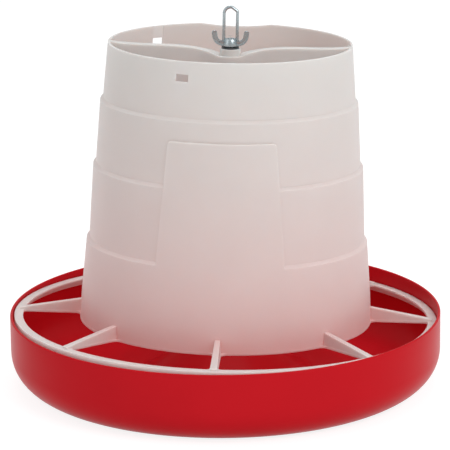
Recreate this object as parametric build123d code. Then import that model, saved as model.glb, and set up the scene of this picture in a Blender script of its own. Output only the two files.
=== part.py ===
from build123d import *
import os
from math import cos, hypot, radians, sin, tan

# Hanging poultry feeder: a red pan, a translucent hopper moulded in one piece with its
# feeding ring, and a threaded rod that joins them and carries the whole by a wire bail.
# Millimetres. Z is up, the ground is z = 0, and the hopper's plain panel faces -Y.

# Pan
pan_radius = 200.0
pan_height = 67.0
pan_wall = 2.6
pan_corner_radius = 33.0
pan_corner_flats = 4
cone_base_radius = 84.0
cone_top_radius = 14.0
cone_top_height = 50.0
collar_depth = 5.0
collar_rim = 2.0

# How the hopper and the rod lean in the pan
lean_right = 1.44
lean_back = 2.15

# Ring, its windows and its fins
ring_drop = 5.6
ring_pan_gap = 1.1
ring_width = 7.9
ring_skirt = 8.0
web_thickness = 2.2
spoke_count = 8
spoke_width = 7.2
window_inner_round = 6.0
window_outer_round = 3.5
window_ledge = 0.3
fin_foot_width = 6.4
fin_draft = 4.0
fin_root_height = 11.5
fin_tip_height = 0.8
fin_wall = 1.7

# Hopper shell, with heights above the ring
shell_wall = 2.2
hopper_height = 256.6
foot_radius = 135.0
flare_radius = 133.8
flare_height = 26.0
low_shoulder_radius = 129.8
low_shoulder_height = 75.0
mid_shoulder_radius = 124.3
mid_shoulder_height = 145.0
top_shoulder_radius = 118.3
top_shoulder_height = 205.0
rim_radius = 111.8
shoulder_step = 2.6
shoulder_rise = 3.0
rim_dip_width = 66.0
rim_dip_depth = 3.0

# Plain panel on the front
panel_top_width = 96.0
panel_foot_width = 115.0
panel_top_height = 186.0
panel_top_radius = 121.8
panel_corner_round = 4.0

# Lid slots
slot_count = 3
slot_first_angle = -19.0
slot_width = 12.0
slot_height = 6.5
slot_drop = 15.0
slot_guide_depth = 0.8

# Bridge across the hopper's mouth, with drops below the rim
bridge_width = 9.0
bridge_flare_width = 24.0
bridge_flare_reach = 34.0
bridge_end_drop = 1.0
bridge_waist_drop = 3.4
bridge_waist_reach = 62.0
bridge_neck_drop = 6.4
bridge_neck_reach = 26.0
bridge_saddle_drop = 11.5
bridge_foot_drop = 42.0
bridge_end_foot_drop = 30.0
boss_radius = 9.5
boss_top_drop = 5.5

# Rod, nuts and washers
rod_radius = 3.0
rod_top_rise = 7.6
rod_tail = 3.0
rod_chamfer = 0.7
rod_hole_clearance = 0.4
thread_clearance = 0.08
nut_across_flats = 10.0
nut_height = 5.0
washer_radius = 8.0
washer_thickness = 1.6
washer_clearance = 0.2

# Wing nut and its wire bail
hub_base_radius = 6.8
hub_top_radius = 5.6
hub_height = 7.4
wing_reach = 16.5
wing_height = 15.2
wing_tip_width = 4.2
wing_tip_drop = 2.4
wing_belly_reach = 12.4
wing_belly_height = 3.2
wing_throat_reach = 9.8
wing_throat_height = 8.2
wing_root_height = 5.2
wing_root_thickness = 7.0
wing_tip_thickness = 3.6
bail_wire_radius = 1.45
bail_leg_reach = 6.1
bail_top_rise = 34.0
bail_socket_floor = 1.8
bail_socket_clearance = 0.05

# Heights worked out from the sizes above
ring_height = pan_height - ring_drop
rim_height = ring_height + hopper_height
boss_top = rim_height - boss_top_drop
boss_foot = rim_height - bridge_foot_drop
wing_nut_base = boss_top + washer_thickness
collar_foot = cone_top_height - collar_depth
ring_radius = pan_radius - pan_wall - ring_pan_gap


def turned(points):
    """Solid of revolution about Z from a closed outline of (radius, height) points."""
    return revolve(make_face(Plane.XZ * Polyline(*points, close=True)), Axis.Z)


def leaned(shape):
    """Turn a shape from the upright into the lean that the rod takes in the pan."""
    return Pos(0, 0, cone_top_height) * Rot(-lean_back, lean_right, 0) * Pos(0, 0, -cone_top_height) * shape


def cylinder(radius, low, high):
    return Pos(0, 0, low) * extrude(Circle(radius), high - low)


def around(shape, count, first=0.0):
    """Copies of a shape at equal angles about Z."""
    return [Rot(0, 0, first + 360 * i / count) * shape for i in range(count)]


def make_pan():
    seat = cone_top_height - collar_depth / 2
    centre = pan_radius - pan_corner_radius

    def corner(radius):
        turns = [radians(90 * i / pan_corner_flats) for i in range(pan_corner_flats + 1)]
        return [(centre + radius * sin(turn), pan_corner_radius - radius * cos(turn)) for turn in turns]
    shell = turned([
        (cone_top_radius, seat - pan_wall), (cone_base_radius, 0), *corner(pan_corner_radius),
        (pan_radius, pan_height), (pan_radius - pan_wall, pan_height),
        *reversed(corner(pan_corner_radius - pan_wall)), (cone_base_radius, pan_wall), (cone_top_radius, seat)])
    collar = leaned(cylinder(cone_top_radius + collar_rim, collar_foot, cone_top_height))
    hole = leaned(cylinder(rod_radius + rod_hole_clearance, collar_foot - pan_wall, pan_height))
    return shell + collar - hole


def shell_outline(inset, low, high):
    """Closed outline of the hopper body, its stepped side moved in by inset."""
    def side(radius, height):
        return radius - inset, ring_height + height - inset
    flare = (flare_radius - inset, ring_height + flare_height)
    points = [(0, low), (foot_radius - inset, low), (foot_radius - inset, ring_height), flare]
    for radius, height in ((low_shoulder_radius, low_shoulder_height),
                           (mid_shoulder_radius, mid_shoulder_height),
                           (top_shoulder_radius, top_shoulder_height)):
        points += [side(radius, height - shoulder_rise / 2),
                   side(radius - shoulder_step, height + shoulder_rise / 2)]
    return points + [(rim_radius - inset, high), (0, high)]


def make_panel_pad(inset):
    """The lowest band carried up behind the panel's outline."""
    low = ring_height + low_shoulder_height - shoulder_rise / 2 - inset
    high = ring_height + panel_top_height - inset
    cone = turned([(0, low), (low_shoulder_radius - inset, low), (panel_top_radius - inset, high), (0, high)])
    half_top, half_foot = panel_top_width / 2 - inset, panel_foot_width / 2 - inset
    spread = (half_foot - half_top) / (high - low) * panel_corner_round
    outline = make_face(Polyline((-half_top, high), (half_top, high),
                                 (half_foot + spread, low - panel_corner_round),
                                 (-half_foot - spread, low - panel_corner_round), close=True))
    outline = fillet(outline.vertices().sort_by(Axis.Y)[-2:], panel_corner_round)
    return cone & extrude(Plane.XZ * outline, pan_radius)


def make_bridge_solid(inset, foot_drop, end_foot_drop):
    """Half-round saddle beam across the mouth, its walls moved in by inset."""
    def at(reach, drop):
        return reach, rim_height - drop - inset
    top = Spline(at(rim_radius, bridge_end_drop), at(bridge_waist_reach, bridge_waist_drop),
                 at(bridge_neck_reach, bridge_neck_drop), at(boss_radius, bridge_saddle_drop))
    rest = Polyline(at(boss_radius, bridge_saddle_drop), at(0, bridge_saddle_drop),
                    (0, rim_height - foot_drop), (rim_radius, rim_height - end_foot_drop),
                    at(rim_radius, bridge_end_drop))
    side = Plane.XZ * make_face(top + rest)
    side = extrude(side + mirror(side, Plane.YZ), bridge_flare_width, both=True)
    half, flare_half = bridge_width / 2 - inset, bridge_flare_width / 2 - inset
    edge = Spline((0, flare_half), (bridge_flare_reach / 2, (half + flare_half) / 2), (bridge_flare_reach, half),
                  tangents=((1, 0), (1, 0)))
    quarter = make_face(edge + Polyline((bridge_flare_reach, half), (rim_radius, half), (rim_radius, 0), (0, 0),
                                        (0, flare_half)))
    plan = quarter + mirror(quarter, Plane.XZ)
    plan = plan + mirror(plan, Plane.YZ)
    return side & (Pos(0, 0, ring_height) * extrude(plan, hopper_height))


def make_bridge():
    beam = make_bridge_solid(0, bridge_foot_drop, bridge_end_foot_drop)
    core = make_bridge_solid(shell_wall, bridge_foot_drop + shell_wall, bridge_end_foot_drop + shell_wall)
    return beam - core + cylinder(boss_radius, boss_foot, boss_top)


def make_fin(inset, depth, start, end):
    """Upright web from the shell down to the ring, its sides drafted."""
    slope = (fin_root_height - fin_tip_height) / (ring_radius - foot_radius)

    def crest(reach):
        return reach, fin_root_height - slope * (reach - foot_radius) - inset

    def half(level):
        return fin_foot_width / 2 - level * tan(radians(fin_draft)) - inset
    top = crest(start)[1]
    side = make_face(Plane.XZ * Polyline((start, -depth), crest(start), crest(end), (end, -depth), close=True))
    front = make_face(Plane.YZ * Polyline((-half(-depth), -depth), (half(-depth), -depth), (half(top), top),
                                          (-half(top), top), close=True))
    return Pos(0, 0, ring_height) * (extrude(side, fin_foot_width, both=True) & extrude(front, ring_radius))


def make_windows():
    """Openings between the spokes, with rounded corners."""
    opening = Circle(ring_radius - ring_width) - Circle(foot_radius + window_ledge)
    spokes = [Rot(0, 0, 360 * i / spoke_count) * Rectangle(2 * ring_radius, spoke_width, align=(Align.MIN, Align.CENTER))
              for i in range(spoke_count)]
    opening = opening - spokes
    middle = (ring_radius - ring_width + foot_radius + window_ledge) / 2
    inner = [v for v in opening.vertices() if hypot(v.X, v.Y) < middle]
    opening = fillet(inner, window_inner_round)
    outer = [v for v in opening.vertices() if hypot(v.X, v.Y) > ring_radius - ring_width - window_outer_round / 2]
    opening = fillet(outer, window_outer_round)
    return Pos(0, 0, ring_height - ring_skirt) * extrude(opening, 2 * ring_skirt)


def make_ring():
    foot = ring_height - web_thickness
    return turned([
        (foot_radius - shell_wall, foot), (ring_radius - web_thickness, foot),
        (ring_radius - web_thickness, ring_height - ring_skirt), (ring_radius, ring_height - ring_skirt),
        (ring_radius, ring_height), (foot_radius - shell_wall, ring_height)])


def make_slots():
    """Slots for a lid's three legs, each with a shallow guide above it inside the rim."""
    high = rim_height - slot_drop + slot_height / 2
    slot = Pos(rim_radius, 0, high - slot_height / 2) * Box(rim_radius, slot_width, slot_height)
    guide = Pos(rim_radius, 0, high) * Box(rim_radius, slot_width, slot_height + 2 * slot_drop)
    liner = turned(shell_outline(shell_wall - slot_guide_depth, ring_height - ring_skirt, rim_height + shell_wall))
    return around(slot + (guide & liner), slot_count, slot_first_angle - 90)


def make_rim_dip():
    """Shallow dip in the rim at the back."""
    radius = ((rim_dip_width / 2) ** 2 + rim_dip_depth ** 2) / (2 * rim_dip_depth)
    profile = Pos(0, rim_height + radius - rim_dip_depth) * Circle(radius)
    return extrude(Plane.XZ * profile, -pan_radius)


def make_hopper():
    body = turned(shell_outline(0, ring_height - web_thickness, rim_height)) + make_panel_pad(0)
    fin = make_fin(0, web_thickness / 2, foot_radius - 2 * shell_wall, ring_radius - ring_width / 2)
    body = body + make_ring() + around(fin, spoke_count)
    hollow = turned(shell_outline(shell_wall, ring_height - 2 * ring_skirt, rim_height + shell_wall))
    hollow = hollow + make_panel_pad(shell_wall) - make_bridge()
    groove = make_fin(fin_wall, 2 * web_thickness, foot_radius + window_ledge, ring_radius - ring_width)
    grooves = around(groove, spoke_count)
    body = body - hollow - grooves - make_windows() - make_slots() - make_rim_dip()
    return body - cylinder(rod_radius + rod_hole_clearance, ring_height, rim_height)


def make_rod():
    low = collar_foot - washer_thickness - nut_height - rod_tail
    rod = cylinder(rod_radius, low, rim_height + rod_top_rise)
    return chamfer(rod.edges().filter_by(GeomType.CIRCLE), rod_chamfer)


def make_washer(low):
    hole = rod_radius + washer_clearance
    return cylinder(washer_radius, low, low + washer_thickness) - cylinder(hole, low, low + washer_thickness)


def make_nut(low, bore):
    body = extrude(RegularPolygon(nut_across_flats / 2, 6, major_radius=False), nut_height)
    return Pos(0, 0, low) * (body - cylinder(bore, 0, nut_height))


def make_wing_nut():
    """Round hub with two dished wings; the bail's legs sit in sockets at their roots."""
    tip = wing_height - wing_tip_drop
    outline = Polyline(
        (0, 0), (hub_top_radius, 0), (wing_belly_reach, wing_belly_height), (wing_reach, tip),
        (wing_reach - wing_tip_width / 4, wing_height), (wing_reach - wing_tip_width * 3 / 4, wing_height),
        (wing_reach - wing_tip_width, tip), (wing_throat_reach, wing_throat_height),
        (hub_top_radius, wing_root_height), (0, wing_root_height), close=True)
    wing = extrude(Plane.XZ * make_face(outline), wing_root_thickness, both=True)
    root, end = wing_root_thickness / 2, wing_tip_thickness / 2
    plan = make_face(Polyline((0, -root), (bail_leg_reach, -root), (wing_reach, -end), (wing_reach, end),
                              (bail_leg_reach, root), (0, root), close=True))
    wing = wing & extrude(plan, wing_height)
    hub = turned([(0, 0), (hub_base_radius, 0), (hub_top_radius, hub_height), (0, hub_height)])
    socket = Pos(bail_leg_reach, 0, 0) * cylinder(bail_wire_radius + bail_socket_clearance, bail_socket_floor,
                                                  wing_height)
    nut = hub + wing + mirror(wing, Plane.YZ) - socket - mirror(socket, Plane.YZ)
    return Pos(0, 0, wing_nut_base) * (nut - cylinder(rod_radius + thread_clearance, 0, hub_height))


def make_bail():
    """Wire loop with both legs down in the wing nut's sockets."""
    low = wing_nut_base + bail_socket_floor
    top = rim_height + bail_top_rise - bail_wire_radius
    half = bail_leg_reach * tan(radians(22.5))
    bend = top - bail_leg_reach + half
    path = Plane.XZ * Polyline((-bail_leg_reach, low), (-bail_leg_reach, bend), (-half, top), (half, top),
                               (bail_leg_reach, bend), (bail_leg_reach, low))
    return sweep(Pos(-bail_leg_reach, 0, low) * Circle(bail_wire_radius), path, transition=Transition.RIGHT)


parts = {
    "feed_pan": make_pan(),
    "hopper": leaned(make_hopper()),
    "lift_rod": leaned(make_rod()),
    "pan_washer_under": leaned(make_washer(collar_foot - washer_thickness)),
    "pan_nut_under": leaned(make_nut(collar_foot - washer_thickness - nut_height, rod_radius)),
    "pan_washer_over": leaned(make_washer(cone_top_height)),
    "pan_nut_over": leaned(make_nut(cone_top_height + washer_thickness, rod_radius)),
    "stop_washer": leaned(make_washer(boss_foot - washer_thickness)),
    "stop_nut": leaned(make_nut(boss_foot - washer_thickness - nut_height, rod_radius + thread_clearance)),
    "clamp_washer": leaned(make_washer(boss_top)),
    "wing_nut": leaned(make_wing_nut()),
    "bail": leaned(make_bail()),
}

os.makedirs("parts", exist_ok=True)
for name, shape in parts.items():
    export_step(shape, f"parts/{name}.step")
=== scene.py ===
from math import cos, degrees, pi, radians, sin

import bpy
from mathutils import Matrix, Vector


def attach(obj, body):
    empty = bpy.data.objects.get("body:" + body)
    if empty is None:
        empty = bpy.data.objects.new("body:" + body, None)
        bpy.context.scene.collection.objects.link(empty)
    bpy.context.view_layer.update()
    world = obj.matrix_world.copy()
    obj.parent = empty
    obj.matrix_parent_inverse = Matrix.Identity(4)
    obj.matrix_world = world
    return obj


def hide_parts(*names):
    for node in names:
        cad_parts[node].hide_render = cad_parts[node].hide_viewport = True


bl_info = {
    "name": "Poultry Feeder",
    "version": (1, 0, 0),
    "blender": (4, 5, 0),
    "location": "3D Viewport > Sidebar > Feeder",
    "description": "Dresses the hanging poultry feeder and sets it in a plain studio",
    "category": "Object",
}

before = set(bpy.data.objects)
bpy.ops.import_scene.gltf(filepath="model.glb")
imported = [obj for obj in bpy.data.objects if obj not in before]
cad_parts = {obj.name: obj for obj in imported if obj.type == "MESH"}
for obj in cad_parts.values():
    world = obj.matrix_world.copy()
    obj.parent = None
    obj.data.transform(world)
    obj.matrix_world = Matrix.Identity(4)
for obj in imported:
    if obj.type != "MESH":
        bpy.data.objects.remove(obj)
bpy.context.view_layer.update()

RIM = 0.318          # height of the hopper's rim, before it leans
SEAT = 0.050         # height of the collar that the rod is clamped in
BOSS_TOP = RIM - 0.0055
NUT_BASE = BOSS_TOP + 0.0016
LEAN = (Matrix.Translation((0, 0, SEAT)) @ Matrix.Rotation(radians(-2.15), 4, "X")
        @ Matrix.Rotation(radians(1.44), 4, "Y") @ Matrix.Translation((0, 0, -SEAT)))


# Bends of the bail from its left leg: angle turned, radius, straight run after it.
BENDS = ((radians(82), 0.00605, 0.0006), (radians(44), 0.0026, 0.00425), (radians(54), 0.0026, 0))

# How far the hopper's painted red glow has faded, by height from its foot to its rim.
PAINTED_GLOW_FADE = ((0.05, 0.12), (0.13, 0.36), (0.33, 0.62), (0.63, 0.84))


def linear(code):
    """Linear colour from an sRGB hex value."""
    parts = [int(code[i:i + 2], 16) / 255 for i in (1, 3, 5)]
    return tuple(part / 12.92 if part <= 0.04045 else ((part + 0.055) / 1.055) ** 2.4 for part in parts)


def size(name, description, default):
    return bpy.props.FloatProperty(name=name, description=description, default=default,
                                   subtype="DISTANCE", unit="LENGTH", precision=5)


def colour(name, description, code):
    return bpy.props.FloatVectorProperty(name=name, description=description, default=linear(code),
                                         subtype="COLOR", size=3, min=0, max=1)


class FeederSizes(bpy.types.PropertyGroup):
    pan_radius: size("Pan radius", "Outside radius of the pan at its rim", 0.2)
    pan_height: size("Pan height", "Height of the pan's rim above the ground", 0.067)
    pan_wall: size("Pan wall", "Thickness of the pan's wall", 0.0026)
    pan_corner: size("Pan corner", "Outside radius where the pan's side meets its floor", 0.033)
    pan_bead: size("Pan rim round", "Radius of the two rounded edges of the pan's rim", 0.0012)
    rod_radius: size("Rod radius", "Radius of the rod over its thread", 0.003)
    thread_pitch: size("Thread pitch", "Distance between two turns of the thread", 0.001)
    thread_depth: size("Thread depth", "Depth of the thread's groove", 0.0006)
    wire_radius: size("Wire radius", "Radius of the bail's wire", 0.00145)
    leg_reach: size("Leg reach", "Distance of the bail's legs from the rod's axis", 0.0061)
    bail_rise: size("Bail rise", "Height of the bail's top above the hopper's rim", 0.034)


class FeederColours(bpy.types.PropertyGroup):
    pan: colour("Pan", "Red of the pan", "#C61822")
    hopper: colour("Hopper", "Milky white of the hopper", "#DEDCD9")
    # Painted red glow: the pan's light through the hopper's wall, painted into its colour.
    painted_red_glow: colour("Blush", "Hopper where the red pan shines through", "#EBBCB9")
    zinc: colour("Zinc", "Bright zinc plating", "#B9C4C8")
    dark: colour("Dark zinc", "Dull plating of the washer", "#5C6164")
    floor: colour("Floor", "Studio floor", "#F4F4F4")


def sizes():
    return bpy.context.scene.feeder_sizes


def colours():
    return bpy.context.scene.feeder_colours


# Modelling

def deselect():
    if bpy.context.object and bpy.context.object.mode != "OBJECT":
        bpy.ops.object.mode_set(mode="OBJECT")
    bpy.ops.object.select_all(action="DESELECT")


def start(name):
    """Names the primitive just added, puts its place in its mesh and opens it for editing."""
    piece = bpy.context.object
    piece.name = piece.data.name = name
    bpy.ops.object.transform_apply()
    bpy.ops.object.mode_set(mode="EDIT")
    bpy.ops.mesh.select_all(action="SELECT")
    return piece


def pull(move, scale=(1, 1, 1), centre=(0, 0, 0)):
    """Extrudes what is selected, scales it about a point and moves it."""
    bpy.ops.mesh.extrude_region()
    bpy.ops.transform.resize(value=scale, center_override=centre)
    bpy.ops.transform.translate(value=move)


def only(piece, keep):
    """Selects the faces of a piece that pass a test."""
    bpy.ops.mesh.select_mode(type="FACE")
    bpy.ops.mesh.select_all(action="DESELECT")
    bpy.ops.object.mode_set(mode="OBJECT")
    for face in piece.data.polygons:
        face.select = keep(face)
    bpy.ops.object.mode_set(mode="EDIT")


def close_up():
    """Merges doubled points and turns all faces outwards."""
    bpy.ops.mesh.select_all(action="SELECT")
    bpy.ops.mesh.remove_doubles(threshold=0.00001)
    bpy.ops.mesh.normals_make_consistent(inside=False)
    bpy.ops.object.mode_set(mode="OBJECT")


def finish(piece, material, body, slot, *nodes, angle=35, lean=True):
    """Leans, shades and dresses a finished piece, and hangs it on its body."""
    deselect()
    piece.select_set(True)
    bpy.context.view_layer.objects.active = piece
    if lean:
        piece.matrix_world = LEAN
    bpy.ops.object.transform_apply()
    bpy.ops.object.shade_smooth_by_angle(angle=radians(angle))
    piece.data.materials.clear()
    piece.data.materials.append(material)
    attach(piece, body)
    if nodes:
        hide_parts(*nodes)


def arc(centre, radius, first, last, steps):
    """Points of a rounded corner as (radius, height), with angles in degrees from outwards."""
    turns = [radians(first + (last - first) * i / steps) for i in range(steps + 1)]
    return [(centre[0] + radius * cos(turn), centre[1] + radius * sin(turn)) for turn in turns]


def turn(name, outline, sides):
    """A ring pulled along a closed outline of (radius, height) into a solid wall."""
    deselect()
    radius, height = outline[0]
    bpy.ops.mesh.primitive_circle_add(vertices=sides, radius=radius, location=(0, 0, height))
    piece = start(name)
    for next_radius, next_height in outline[1:]:
        scale = next_radius / radius
        pull((0, 0, next_height - height), (scale, scale, 1), (0, 0, height))
        radius, height = next_radius, next_height
    bpy.ops.mesh.select_mode(type="EDGE")
    bpy.ops.mesh.select_all(action="DESELECT")
    bpy.ops.mesh.select_non_manifold()
    bpy.ops.mesh.bridge_edge_loops()
    close_up()
    return piece


# Materials

def add(tree, kind, sockets={}, **settings):
    """One node with its settings, its values and its links."""
    node = tree.nodes.new(kind)
    for name, value in settings.items():
        setattr(node, name, value)
    for name, value in sockets.items():
        if isinstance(value, bpy.types.NodeSocket):
            tree.links.new(value, node.inputs[name])
        else:
            node.inputs[name].default_value = value
    return node


def new_material(name):
    material = bpy.data.materials.new(name)
    material.use_nodes = True
    material.node_tree.nodes.clear()
    return material, material.node_tree


def red_polypropylene():
    """Polypropylene, injection moulded in a polished mould: deep red with soft reflections."""
    material, tree = new_material("polypropylene_red_moulded")
    place = add(tree, "ShaderNodeTexCoord").outputs["Object"]
    # The pigment flows into faint clouds some 60 mm long, and handling dulls the gloss in the same way.
    cloud = add(tree, "ShaderNodeTexNoise", {"Vector": place, "Scale": 16.0, "Detail": 3.0})
    shade = add(tree, "ShaderNodeMapRange", {"Value": cloud.outputs["Fac"], "To Min": 0.93, "To Max": 1.05})
    tone = add(tree, "ShaderNodeVectorMath", {0: colours().pan, "Scale": shade.outputs["Result"]},
               operation="SCALE")
    rub = add(tree, "ShaderNodeMapRange", {"Value": cloud.outputs["Fac"], "To Min": 0.36, "To Max": 0.26})
    # The mould's polish is finer than 0.1 mm; drawn at 1.5 mm so that it shows.
    grain = add(tree, "ShaderNodeTexNoise", {"Vector": place, "Scale": 650.0, "Detail": 1.0})
    bump = add(tree, "ShaderNodeBump", {"Strength": 0.03, "Distance": 0.0003, "Height": grain.outputs["Fac"]})
    shader = add(tree, "ShaderNodeBsdfPrincipled", {
        "Base Color": tone.outputs["Vector"], "Roughness": rub.outputs["Result"], "IOR": 1.49,
        "Specular IOR Level": 0.05, "Normal": bump.outputs["Normal"]})
    add(tree, "ShaderNodeOutputMaterial", {"Surface": shader.outputs[0]})
    return material


def milky_polypropylene():
    """Unpigmented polypropylene, injection moulded: milky, lets light through its thin wall."""
    material, tree = new_material("polypropylene_natural_moulded")
    place = add(tree, "ShaderNodeTexCoord").outputs["Object"]
    # Painted light: the red pan's glow through the wall is painted into the colour, strongest at the hopper's foot,
    # gone at its rim and out at the ring.
    height = add(tree, "ShaderNodeSeparateXYZ", {0: place}).outputs["Z"]
    rise = add(tree, "ShaderNodeMapRange", {"Value": height, "From Min": 0.055, "From Max": RIM})
    painted_red_glow = add(tree, "ShaderNodeValToRGB", {"Fac": rise.outputs["Result"]})
    ramp = painted_red_glow.color_ramp
    ramp.elements[0].position, ramp.elements[0].color = 0.0, (*colours().painted_red_glow, 1)
    ramp.elements[1].position, ramp.elements[1].color = 1.0, (*colours().hopper, 1)
    for position, share in PAINTED_GLOW_FADE:
        step = ramp.elements.new(position)
        step.color = [low + (high - low) * share for low, high in zip((*colours().painted_red_glow, 1), (*colours().hopper, 1))]
    # The painted red glow fades out towards the ring.
    flat = add(tree, "ShaderNodeVectorMath", {0: place, 1: (1.0, 1.0, 0.0)}, operation="MULTIPLY")
    reach = add(tree, "ShaderNodeVectorMath", {0: flat.outputs["Vector"]}, operation="LENGTH")
    out = add(tree, "ShaderNodeMapRange", {"Value": reach.outputs["Value"], "From Min": 0.137, "From Max": 0.188,
                                           "To Max": 0.8})
    body = add(tree, "ShaderNodeMix", {"Factor": out.outputs["Result"], 6: painted_red_glow.outputs["Color"],
                                       7: (*colours().hopper, 1)}, data_type="RGBA")
    # Cooling leaves cloudy patches some 40 mm across in the wall.
    cloud = add(tree, "ShaderNodeTexNoise", {"Vector": place, "Scale": 25.0, "Detail": 3.0})
    shade = add(tree, "ShaderNodeMapRange", {"Value": cloud.outputs["Fac"], "To Min": 0.95, "To Max": 1.0})
    tone = add(tree, "ShaderNodeVectorMath", {0: body.outputs[2], "Scale": shade.outputs["Result"]},
               operation="SCALE")
    # The satin grain of the mould is about 0.3 mm; drawn at 1 mm so that it shows.
    grain = add(tree, "ShaderNodeTexNoise", {"Vector": place, "Scale": 1000.0, "Detail": 2.0})
    bump = add(tree, "ShaderNodeBump", {"Strength": 0.05, "Distance": 0.0005, "Height": grain.outputs["Fac"]})
    shader = add(tree, "ShaderNodeBsdfPrincipled", {
        "Base Color": tone.outputs["Vector"], "Roughness": 0.45, "IOR": 1.49, "Specular IOR Level": 0.3,
        "Subsurface Weight": 1.0, "Subsurface Radius": (1.0, 0.85, 0.8), "Subsurface Scale": 0.006,
        "Normal": bump.outputs["Normal"]})
    # A wall this thin only dims the light behind it, so part of each shadow ray passes.
    rays = add(tree, "ShaderNodeLightPath")
    passed = add(tree, "ShaderNodeMath", {0: rays.outputs["Is Shadow Ray"], 1: 0.87}, operation="MULTIPLY")
    clear = add(tree, "ShaderNodeBsdfTransparent", {"Color": (1.0, 0.97, 0.95, 1.0)})
    mix = add(tree, "ShaderNodeMixShader", {0: passed.outputs[0], 1: shader.outputs[0], 2: clear.outputs[0]})
    add(tree, "ShaderNodeOutputMaterial", {"Surface": mix.outputs[0]})
    return material


def zinc_steel(name, colour_value, low, high):
    """Steel, zinc plated: bluish grey with a fine crystalline bloom."""
    material, tree = new_material(name)
    place = add(tree, "ShaderNodeTexCoord").outputs["Object"]
    # Plating bloom is about 0.5 mm; drawn at 2 mm so that it shows.
    bloom = add(tree, "ShaderNodeTexNoise", {"Vector": place, "Scale": 500.0, "Detail": 3.0})
    rough = add(tree, "ShaderNodeMapRange", {"Value": bloom.outputs["Fac"], "To Min": low, "To Max": high})
    bump = add(tree, "ShaderNodeBump", {"Strength": 0.15, "Distance": 0.0002, "Height": bloom.outputs["Fac"]})
    shader = add(tree, "ShaderNodeBsdfPrincipled", {
        "Base Color": (*colour_value, 1), "Metallic": 1.0, "Roughness": rough.outputs["Result"],
        "Normal": bump.outputs["Normal"]})
    add(tree, "ShaderNodeOutputMaterial", {"Surface": shader.outputs[0]})
    return material


def material_of(name, maker):
    return bpy.data.materials.get(name) or maker()


def bright_zinc():
    return material_of("steel_bright_zinc", lambda: zinc_steel("steel_bright_zinc", colours().zinc, 0.18, 0.34))


def dark_zinc():
    return material_of("steel_dark_zinc", lambda: zinc_steel("steel_dark_zinc", colours().dark, 0.3, 0.5))


# Pieces

class FEEDER_OT_pan(bpy.types.Operator):
    """Turn the red pan with its cone, rounded corner and rim"""
    bl_idname = "feeder.pan"
    bl_label = "Pan"

    def execute(self, context):
        s = sizes()
        side, wall, corner, bead = s.pan_radius, s.pan_wall, s.pan_corner, s.pan_bead
        flat = side - corner
        outline = [
            (0.0034, SEAT - 0.005), (0.016, SEAT - 0.005), (0.0178, 0.0424),
            (0.079, 0.0034), (0.0815, 0.0017), (0.0845, 0.0005), (0.088, 0), (0.12, 0), (0.15, 0),
            *arc((flat, corner), corner, 270, 360, 16), (side, 0.05),
            *arc((side - bead, s.pan_height - bead), bead, 0, 90, 5),
            *arc((side - wall + bead, s.pan_height - bead), bead, 90, 180, 5), (side - wall, 0.05),
            *arc((flat, corner), corner - wall, 360, 270, 16),
            (0.15, wall), (0.12, wall), (0.0895, wall), (0.0855, 0.0030), (0.082, 0.0042), (0.079, 0.0060),
            (0.0165, 0.0461), (0.016, SEAT - 0.0005), (0.0155, SEAT), (0.0034, SEAT)]
        pan = turn("pan_moulding", outline, 192)
        finish(pan, material_of("polypropylene_red_moulded", red_polypropylene),
               "pan_and_rod", "red_plastic", "feed_pan", lean=False)
        return {"FINISHED"}


class FEEDER_OT_hopper(bpy.types.Operator):
    """Dress the hopper, moulded in one piece with its fins and ring"""
    bl_idname = "feeder.hopper"
    bl_label = "Hopper"

    def execute(self, context):
        deselect()
        hopper = bpy.data.objects.new("hopper_moulding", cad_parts["hopper"].data.copy())
        context.collection.objects.link(hopper)
        hopper.select_set(True)
        context.view_layer.objects.active = hopper
        bpy.ops.object.mode_set(mode="EDIT")
        bpy.ops.mesh.select_all(action="SELECT")
        bpy.ops.mesh.customdata_custom_splitnormals_clear()
        bpy.ops.mesh.remove_doubles(threshold=0.00001)
        bpy.ops.object.mode_set(mode="OBJECT")
        finish(hopper, material_of("polypropylene_natural_moulded", milky_polypropylene),
               "hopper_body", "natural_plastic", "hopper", angle=20, lean=False)
        return {"FINISHED"}


class FEEDER_OT_rod(bpy.types.Operator):
    """Wind the threaded rod"""
    bl_idname = "feeder.rod"
    bl_label = "Threaded rod"

    def execute(self, context):
        s = sizes()
        low, high = SEAT - 0.005 - 0.0016 - 0.005 - 0.003, RIM + 0.0076
        root = s.rod_radius - s.thread_depth
        turns = round((high - low) / s.thread_pitch) - 1
        deselect()
        bpy.ops.mesh.primitive_plane_add(size=0.001, location=(root, 0, low))
        rod = start("threaded_rod")
        bpy.ops.mesh.merge(type="CENTER")
        pull((s.thread_depth, 0, s.thread_pitch / 2))
        pull((-s.thread_depth, 0, s.thread_pitch / 2))
        bpy.ops.object.mode_set(mode="OBJECT")
        thread = rod.modifiers.new("thread", "SCREW")
        thread.axis = "Z"
        thread.screw_offset = s.thread_pitch
        thread.iterations = turns
        thread.steps = thread.render_steps = 16
        thread.use_merge_vertices = True
        thread.merge_threshold = 0.00001
        bpy.ops.object.modifier_apply(modifier="thread")
        bpy.ops.object.mode_set(mode="EDIT")
        bpy.ops.mesh.select_mode(type="EDGE")
        for end in (low, high):
            bpy.ops.mesh.select_all(action="DESELECT")
            bpy.ops.mesh.select_non_manifold()
            bpy.ops.object.mode_set(mode="OBJECT")
            for edge in rod.data.edges:
                middle = sum(rod.data.vertices[i].co.z for i in edge.vertices) / 2
                edge.select = edge.select and abs(middle - end) < 0.002
            bpy.ops.object.mode_set(mode="EDIT")
            bpy.ops.mesh.edge_face_add()
        close_up()
        finish(rod, bright_zinc(), "pan_and_rod", "zinc_steel", "lift_rod", angle=20)
        return {"FINISHED"}


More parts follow.
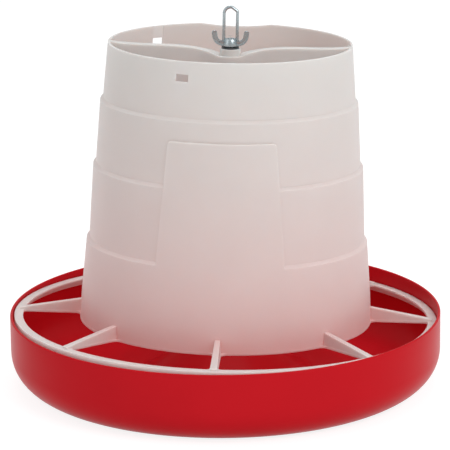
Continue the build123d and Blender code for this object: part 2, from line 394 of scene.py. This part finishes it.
class FEEDER_OT_hardware(bpy.types.Operator):
    """Give the nuts and washers their plating"""
    bl_idname = "feeder.hardware"
    bl_label = "Nuts and washers"

    def execute(self, context):
        for name in ("pan_washer_under", "pan_nut_under", "pan_washer_over", "pan_nut_over",
                     "stop_washer", "stop_nut", "clamp_washer"):
            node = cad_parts[name]
            node.data.materials.clear()
            node.data.materials.append(dark_zinc() if name == "clamp_washer" else bright_zinc())
        return {"FINISHED"}


class FEEDER_OT_wing_nut(bpy.types.Operator):
    """Shape the wing nut from its hub and one wing"""
    bl_idname = "feeder.wing_nut"
    bl_label = "Wing nut"

    def execute(self, context):
        bore = 0.00308
        hub_outline = [
            (bore, 0.0006), (bore + 0.0006, 0), (0.0060, 0), (0.0068, 0.0008), (0.0066, 0.003),
            (0.0060, 0.0062), (0.0056, 0.0071), (0.0050, 0.0074), (bore + 0.0006, 0.0074), (bore, 0.0068)]
        hub = turn("wing_nut_forging", [(radius, NUT_BASE + height) for radius, height in hub_outline], 48)
        centre, bend = Vector((0.0076, 0, NUT_BASE + 0.0096)), radians(82)
        deselect()
        bpy.ops.mesh.primitive_cube_add(size=1, location=(0.0058, 0, NUT_BASE + 0.0030), scale=(0.0036, 0.0062, 0.0050))
        wing = start("wing")
        only(wing, lambda face: face.normal.x > 0.9)
        bpy.ops.mesh.spin(steps=5, angle=bend, center=centre, axis=(0, 1, 0))
        for run in (0.0032, 0.0030):
            pull((run * cos(bend), 0, run * sin(bend)))
        # The wing grows thinner towards its tip and keeps its breadth.
        for limit, scale in ((0.0080, 0.84), (0.0105, 0.80), (0.0125, 0.86), (0.0138, 0.92)):
            only(wing, lambda face: face.center.x > limit)
            bpy.ops.transform.resize(value=(1, scale, 1), center_override=(0, 0, NUT_BASE))
        bpy.ops.mesh.select_all(action="SELECT")
        bpy.ops.mesh.normals_make_consistent(inside=False)
        only(wing, lambda face: abs(face.normal.y) > 0.8)
        bpy.ops.mesh.inset(thickness=0.0009, depth=-0.0007)
        close_up()
        smooth = wing.modifiers.new("smooth", "SUBSURF")
        smooth.levels = smooth.render_levels = 2
        bpy.ops.object.modifier_apply(modifier="smooth")
        # The bail's legs stand in holes that they don't fill.
        deselect()
        bpy.ops.mesh.primitive_cylinder_add(vertices=24, radius=0.0020, depth=0.008,
                                            location=(sizes().leg_reach, 0, NUT_BASE + 0.0068))
        drill = context.object
        bpy.ops.object.transform_apply()
        wings = []
        for side in (0, pi):
            deselect()
            copy, bit = (bpy.data.objects.new(name, mesh.copy()) for name, mesh in (("wing", wing.data),
                                                                                    ("drill", drill.data)))
            for piece in (copy, bit):
                context.collection.objects.link(piece)
                piece.matrix_world = Matrix.Rotation(side, 4, "Z")
                piece.select_set(True)
            context.view_layer.objects.active = copy
            bpy.ops.object.transform_apply()
            for piece in (copy, hub):
                context.view_layer.objects.active = piece
                hole = piece.modifiers.new("hole", "BOOLEAN")
                hole.object = bit
                bpy.ops.object.modifier_apply(modifier="hole")
            bpy.data.objects.remove(bit)
            wings.append(copy)
        for piece in (wing, drill):
            bpy.data.objects.remove(piece)
        deselect()
        for piece in wings + [hub]:
            piece.select_set(True)
        context.view_layer.objects.active = hub
        bpy.ops.object.join()
        finish(hub, bright_zinc(), "wing_nut_body", "zinc_steel", "wing_nut")
        return {"FINISHED"}


class FEEDER_OT_bail(bpy.types.Operator):
    """Bend the wire bail"""
    bl_idname = "feeder.bail"
    bl_label = "Bail"

    def execute(self, context):
        s = sizes()
        low, top = NUT_BASE + 0.0018, RIM + s.bail_rise - s.wire_radius
        reach, bend = -s.leg_reach, top - s.leg_reach
        deselect()
        bpy.ops.mesh.primitive_circle_add(vertices=16, radius=s.wire_radius, fill_type="NGON",
                                          location=(reach, 0, low))
        bail = start("wire_bail")
        pull((0, 0, bend - low))
        # The loop was bent by hand: an even curve on the left, two tighter bends on the right.
        place, heading = Vector((reach, 0, bend)), 0
        for turned, radius, run in BENDS:
            across = Vector((cos(heading), 0, -sin(heading)))
            centre = place + across * radius
            bpy.ops.mesh.spin(steps=max(3, round(degrees(turned) / 8)), angle=-turned, center=centre, axis=(0, 1, 0))
            place = centre - Vector((cos(heading + turned), 0, -sin(heading + turned))) * radius
            heading += turned
            along = Vector((sin(heading), 0, cos(heading))) * run
            if run:
                pull(along)
                place += along
        pull((0, 0, low - place.z))
        close_up()
        finish(bail, bright_zinc(), "wing_nut_body", "zinc_steel", "bail", angle=40)
        return {"FINISHED"}


class FEEDER_OT_stage(bpy.types.Operator):
    """Set the floor, the lamps and the camera"""
    bl_idname = "feeder.stage"
    bl_label = "Stage"

    def execute(self, context):
        scene = context.scene
        deselect()
        bpy.ops.mesh.primitive_plane_add(size=12, location=(0, 0, 0))
        floor = context.object
        floor.name = "studio_floor"
        material, tree = new_material("paper_white_backdrop")
        rays = add(tree, "ShaderNodeLightPath")
        seen = add(tree, "ShaderNodeMath", {0: rays.outputs["Is Camera Ray"], 1: rays.outputs["Is Glossy Ray"]},
                   operation="MAXIMUM")
        seen = add(tree, "ShaderNodeMath", {0: seen.outputs[0], 1: rays.outputs["Is Transmission Ray"]},
                   operation="MAXIMUM")
        paper = add(tree, "ShaderNodeBsdfDiffuse", {"Color": (*colours().floor, 1)})
        faint = add(tree, "ShaderNodeBsdfDiffuse", {"Color": (0.3, 0.3, 0.3, 1)})
        glow = add(tree, "ShaderNodeEmission", {"Color": (1, 1, 1, 1), "Strength": 0.85})
        lit = add(tree, "ShaderNodeAddShader", {0: faint.outputs[0], 1: glow.outputs[0]})
        mix = add(tree, "ShaderNodeMixShader", {0: seen.outputs[0], 1: paper.outputs[0], 2: lit.outputs[0]})
        add(tree, "ShaderNodeOutputMaterial", {"Surface": mix.outputs[0]})
        floor.data.materials.append(material)

        world = bpy.data.worlds.new("studio")
        scene.world = world
        world.use_nodes = True
        tree = world.node_tree
        tree.nodes.clear()
        rays = add(tree, "ShaderNodeLightPath")
        seen = add(tree, "ShaderNodeMath", {0: rays.outputs["Is Camera Ray"], 1: rays.outputs["Is Transmission Ray"]},
                   operation="MAXIMUM")
        dim = add(tree, "ShaderNodeBackground", {"Color": (1, 1, 1, 1), "Strength": 0.55})
        white = add(tree, "ShaderNodeBackground", {"Color": (1, 1, 1, 1), "Strength": 1.0})
        mix = add(tree, "ShaderNodeMixShader", {0: seen.outputs[0], 1: dim.outputs[0], 2: white.outputs[0]})
        add(tree, "ShaderNodeOutputWorld", {"Surface": mix.outputs[0]})

        for name, place, aim, width, power in (
                ("key", (1.6, -1.6, 1.8), (0, 0, 0.15), 1.4, 26),
                ("fill", (-1.8, -1.4, 1.3), (0, 0, 0.15), 1.6, 5),
                ("top", (0.0, 0.8, 2.4), (0, 0, 0.2), 1.6, 16)):
            data = bpy.data.lights.new(name, "AREA")
            data.shape = "SQUARE"
            data.size = width
            data.energy = power
            lamp = bpy.data.objects.new(name, data)
            scene.collection.objects.link(lamp)
            lamp.location = place
            lamp.rotation_euler = (lamp.location - Matrix.Translation(aim).translation).to_track_quat("Z", "Y").to_euler()

        camera = bpy.data.objects.new("camera", bpy.data.cameras.new("camera"))
        scene.collection.objects.link(camera)
        camera.data.lens = 235.85
        camera.data.sensor_width = 36
        camera.matrix_world = (Matrix.Translation((0.1520, -2.6250, 0.8621)) @ Matrix.Rotation(radians(3.3), 4, "Z")
                               @ Matrix.Rotation(radians(74.8), 4, "X") @ Matrix.Rotation(radians(-0.61), 4, "Z"))
        camera.data.clip_end = 30
        scene.camera = camera
        scene.view_settings.view_transform = "Standard"
        return {"FINISHED"}


OPERATORS = (FEEDER_OT_stage, FEEDER_OT_pan, FEEDER_OT_hopper, FEEDER_OT_rod, FEEDER_OT_hardware,
             FEEDER_OT_wing_nut, FEEDER_OT_bail)


class FEEDER_PT_panel(bpy.types.Panel):
    bl_idname = "FEEDER_PT_panel"
    bl_label = "Poultry feeder"
    bl_space_type = "VIEW_3D"
    bl_region_type = "UI"
    bl_category = "Feeder"

    def draw(self, context):
        layout = self.layout
        for group in (sizes(), colours()):
            for name in group.bl_rna.properties.keys():
                if name not in ("rna_type", "name"):
                    layout.prop(group, name)
        for operator in OPERATORS:
            layout.operator(operator.bl_idname)


CLASSES = (FeederSizes, FeederColours, *OPERATORS, FEEDER_PT_panel)


def register():
    for item in CLASSES:
        bpy.utils.register_class(item)
    bpy.types.Scene.feeder_sizes = bpy.props.PointerProperty(type=FeederSizes)
    bpy.types.Scene.feeder_colours = bpy.props.PointerProperty(type=FeederColours)


def unregister():
    del bpy.types.Scene.feeder_sizes, bpy.types.Scene.feeder_colours
    for item in reversed(CLASSES):
        bpy.utils.unregister_class(item)


def main():
    register()
    bpy.ops.feeder.stage()
    bpy.ops.feeder.pan()
    bpy.ops.feeder.hopper()
    bpy.ops.feeder.rod()
    bpy.ops.feeder.hardware()
    bpy.ops.feeder.wing_nut()
    bpy.ops.feeder.bail()


if __name__ == "__main__":
    main()
